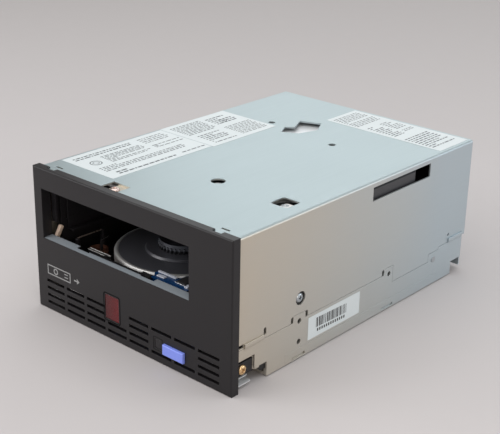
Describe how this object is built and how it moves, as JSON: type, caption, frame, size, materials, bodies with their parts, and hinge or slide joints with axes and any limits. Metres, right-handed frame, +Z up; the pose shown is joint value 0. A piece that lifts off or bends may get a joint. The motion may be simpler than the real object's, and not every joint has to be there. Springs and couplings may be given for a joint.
{
  "type": "data tape drive",
  "caption": "Full-height internal data tape drive: sheet-metal case, vented bezel with cartridge opening, unload button, loader, spindle, tape path and take-up reel.",
  "frame": {"origin": "middle of the underside of the drive's own box, on the surface it stands on", "axes": "+X to the right seen from the bezel, +Y from the bezel to the rear sockets, +Z up"},
  "size_m": [0.148, 0.2124, 0.084],
  "materials": {
    "base_frame": "galvanised sheet, satin",
    "top_cover": "galvanised sheet, satin",
    "bottom_cover": "galvanised sheet, satin",
    "rear_panel": "galvanised sheet, satin",
    "bezel": "fine-grained moulding",
    "bezel_screws": "yellow zinc",
    "frame_screws": "yellow zinc",
    "display_window": "dark red tinted",
    "display_module": "matt",
    "status_lens": "smoked",
    "status_lamp": "matt",
    "front_board": "solder mask",
    "button_switch": "matt",
    "deck": "cast",
    "floor_posts": "turned",
    "standoffs": "turned",
    "upper_frame": "light grey",
    "rail_left": "zinc",
    "rail_right": "zinc",
    "main_board": "solder mask",
    "board_chips": "matt",
    "power_socket": "natural nylon",
    "data_socket": "matt",
    "library_port": "matt",
    "spindle_stator": "lacquered laminations",
    "reel_stator": "lacquered laminations",
    "roller_posts": "turned",
    "head_rods": "turned",
    "loader_motor": "can",
    "gear_axle": "turned",
    "lever_bracket": "zinc",
    "sensor_card": "solder mask",
    "card_connectors": "matt",
    "window_duct": "matt",
    "side_bracket": "zinc",
    "latch_solenoid": "copper winding",
    "labels": "paper",
    "rivets": "plated",
    "unload_button": "satin",
    "spindle_rotor": "black, with a polished rim",
    "clutch_ring": "black",
    "spindle_cap": "polished",
    "reel_lower_flange": "light grey",
    "reel_upper_flange": "light grey",
    "reel_hub": "light grey",
    "reel_rotor": "plated",
    "guide_roller_1": "turned",
    "guide_roller_2": "turned",
    "guide_roller_3": "turned",
    "guide_roller_4": "turned",
    "threading_arm": "glass-filled",
    "head_carriage": "milled",
    "tape_head": "ceramic",
    "cam_plate_left": "zinc",
    "cam_plate_right": "zinc",
    "cam_bridge": "zinc",
    "tray": "dark sheet",
    "loader_gear": "natural acetal",
    "motor_pinion": "natural acetal",
    "entry_lever": "cream"
  },
  "bodies": {
    "chassis": {"base_frame": "base_frame", "top_cover": "top_cover", "bottom_cover": "bottom_cover", "rear_panel": "rear_panel", "bezel": "bezel", "bezel_screws": "bezel_screws", "frame_screws": "frame_screws", "display_window": "display_window", "display_module": "display_module", "status_lens": "status_lens", "status_lamp": "status_lamp", "front_board": "front_board", "button_switch": "button_switch", "deck": "deck", "floor_posts": "floor_posts", "standoffs": "standoffs", "upper_frame": "upper_frame", "rail_left": "rail_left", "rail_right": "rail_right", "main_board": "main_board", "board_chips": "board_chips", "power_socket": "power_socket", "data_socket": "data_socket", "library_port": "library_port", "spindle_stator": "spindle_stator", "reel_stator": "reel_stator", "roller_posts": "roller_posts", "head_rods": "head_rods", "loader_motor": "loader_motor", "gear_axle": "gear_axle", "lever_bracket": "lever_bracket", "sensor_card": "sensor_card", "card_connectors": "card_connectors", "window_duct": "window_duct", "side_bracket": "side_bracket", "latch_solenoid": "latch_solenoid", "labels": "labels", "rivets": "rivets"},
    "unload_button": {"unload_button": "unload_button"},
    "spindle": {"spindle_rotor": "spindle_rotor", "clutch_ring": "clutch_ring", "spindle_cap": "spindle_cap"},
    "take_up_reel": {"reel_lower_flange": "reel_lower_flange", "reel_upper_flange": "reel_upper_flange", "reel_hub": "reel_hub", "reel_rotor": "reel_rotor"},
    "guide_roller_1": {"guide_roller_1": "guide_roller_1"},
    "guide_roller_2": {"guide_roller_2": "guide_roller_2"},
    "guide_roller_3": {"guide_roller_3": "guide_roller_3"},
    "guide_roller_4": {"guide_roller_4": "guide_roller_4"},
    "threading_arm": {"threading_arm": "threading_arm"},
    "head_carriage": {"head_carriage": "head_carriage", "tape_head": "tape_head"},
    "cam_frame": {"cam_plate_left": "cam_plate_left", "cam_plate_right": "cam_plate_right", "cam_bridge": "cam_bridge"},
    "tray": {"tray": "tray"},
    "loader_gear": {"loader_gear": "loader_gear"},
    "motor_pinion": {"motor_pinion": "motor_pinion"},
    "entry_lever": {"entry_lever": "entry_lever"}
  },
  "joints": [
    {"name": "button_press", "type": "slide", "parent": "chassis", "child": "unload_button", "axis": [0, 1, 0], "range_m": [0, 0.0012], "stiffness_N_per_m": 300, "springref_m": -0.002},
    {"name": "spindle_spin", "type": "hinge", "parent": "chassis", "child": "spindle", "pos_m": [-0.0111, -0.0522, 0.03845], "axis": [0, 0, 1], "continuous": true},
    {"name": "reel_spin", "type": "hinge", "parent": "chassis", "child": "take_up_reel", "pos_m": [-0.014, 0.05065, 0.04325], "axis": [0, 0, 1], "continuous": true},
    {"name": "roller_spin_1", "type": "hinge", "parent": "chassis", "child": "guide_roller_1", "pos_m": [0.04525, -0.00544, 0.04375], "axis": [0, 0, 1], "continuous": true},
    {"name": "roller_spin_2", "type": "hinge", "parent": "chassis", "child": "guide_roller_2", "pos_m": [0.05211, 0.00575, 0.04375], "axis": [0, 0, 1], "continuous": true},
    {"name": "roller_spin_3", "type": "hinge", "parent": "chassis", "child": "guide_roller_3", "pos_m": [0.05211, 0.03155, 0.04375], "axis": [0, 0, 1], "continuous": true},
    {"name": "roller_spin_4", "type": "hinge", "parent": "chassis", "child": "guide_roller_4", "pos_m": [0.04525, 0.04274, 0.04375], "axis": [0, 0, 1], "continuous": true},
    {"name": "arm_swing", "type": "hinge", "parent": "chassis", "child": "threading_arm", "pos_m": [0.0185, 0.01865, 0.06275], "axis": [0, 0, 1], "range_deg": [0, 178.44]},
    {"name": "head_step", "type": "slide", "parent": "chassis", "child": "head_carriage", "axis": [0, 0, 1], "range_m": [-0.003, 0.003]},
    {"name": "load_slide", "type": "slide", "parent": "chassis", "child": "cam_frame", "axis": [0, 1, 0], "range_m": [0, 0.012]},
    {"name": "tray_drop", "type": "slide", "parent": "chassis", "child": "tray", "axis": [0, 0, 1], "range_m": [-0.00541, 0]},
    {"name": "gear_turn", "type": "hinge", "parent": "chassis", "child": "loader_gear", "pos_m": [0.059, -0.03335, 0.03835], "axis": [0, 0, 1], "range_deg": [-98.72, 0.5]},
    {"name": "pinion_turn", "type": "hinge", "parent": "chassis", "child": "motor_pinion", "pos_m": [0.059, -0.01815, 0.03835], "axis": [0, 0, 1], "range_deg": [-1, 276.02]},
    {"name": "lever_tip", "type": "hinge", "parent": "chassis", "child": "entry_lever", "pos_m": [-0.0649, -0.09685, 0.04035], "axis": [0, -1, 0], "range_deg": [0, 10], "stiffness_Nm_per_rad": 0.002, "springref_deg": -11.46}
  ],
  "couplings": [
    {"joint": "tray_drop", "follows": "load_slide", "ratio": -0.45},
    {"joint": "gear_turn", "follows": "load_slide", "rad_per_m": -142.86},
    {"joint": "pinion_turn", "follows": "load_slide", "rad_per_m": 400}
  ]
}
